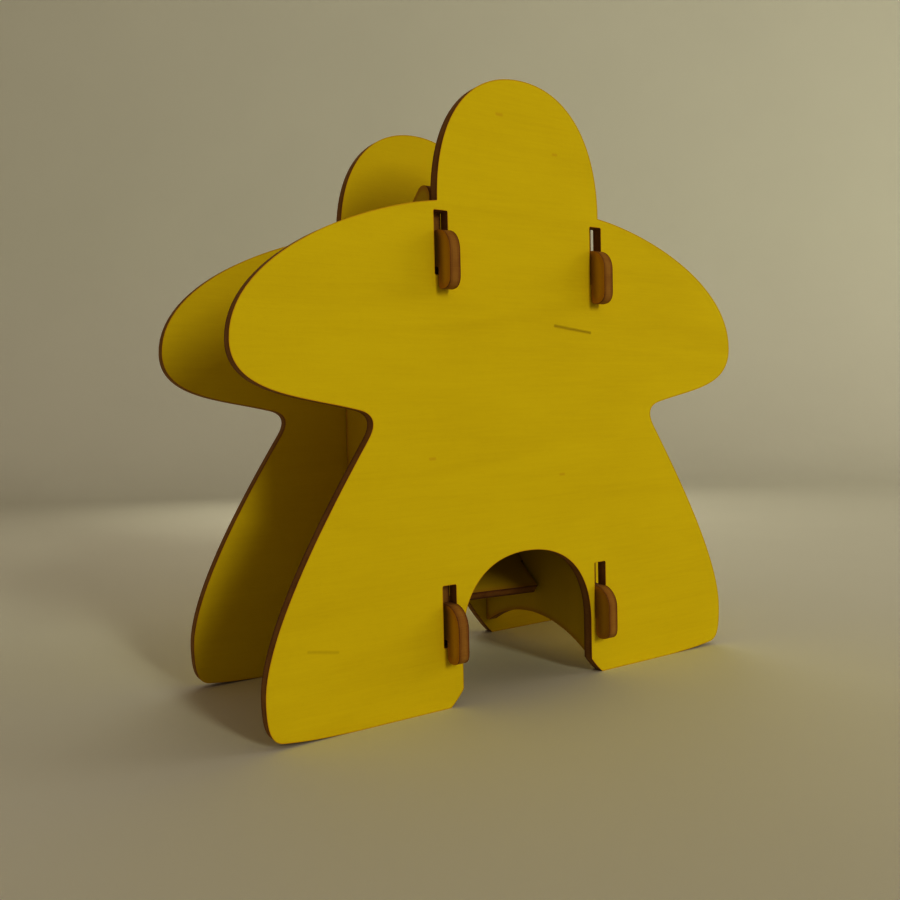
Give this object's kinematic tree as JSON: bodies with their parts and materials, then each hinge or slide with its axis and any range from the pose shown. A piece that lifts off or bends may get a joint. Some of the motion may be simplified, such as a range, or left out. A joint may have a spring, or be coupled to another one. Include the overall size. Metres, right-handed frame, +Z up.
{
  "type": "meeple-shaped dice tower",
  "caption": "Free-standing knock-down plywood dice tower: meeple-shaped front and back panels hooked onto side walls that carry sloping ramps, open at the heads and between the legs.",
  "frame": {"origin": "on the surface that the tower stands on, midway between the panels and on their line of symmetry", "axes": "+X to the right seen from the front, +Y from the front panel to the back panel, +Z up"},
  "size_m": [0.2128, 0.0908, 0.2132],
  "materials": {
    "stained_ply": "plywood sheet stained yellow on its faces, matt, with scorched brown laser-cut edges"
  },
  "bodies": {
    "front_panel": {"front_panel": "stained_ply"},
    "chute": {"left_side_wall": "stained_ply", "right_side_wall": "stained_ply", "upper_ramp": "stained_ply", "middle_ramp": "stained_ply", "exit_ramp": "stained_ply"},
    "back_panel": {"back_panel": "stained_ply"}
  },
  "joints": [
    {"name": "chute_lift", "type": "slide", "parent": "front_panel", "child": "chute", "axis": [0, 0, 1], "range_m": [0, 0.0062]},
    {"name": "back_panel_drop", "type": "slide", "parent": "chute", "child": "back_panel", "axis": [0, 0, 1], "range_m": [-0.0062, 0]}
  ],
  "couplings": [
    {"joint": "back_panel_drop", "follows": "chute_lift", "ratio": -1}
  ]
}
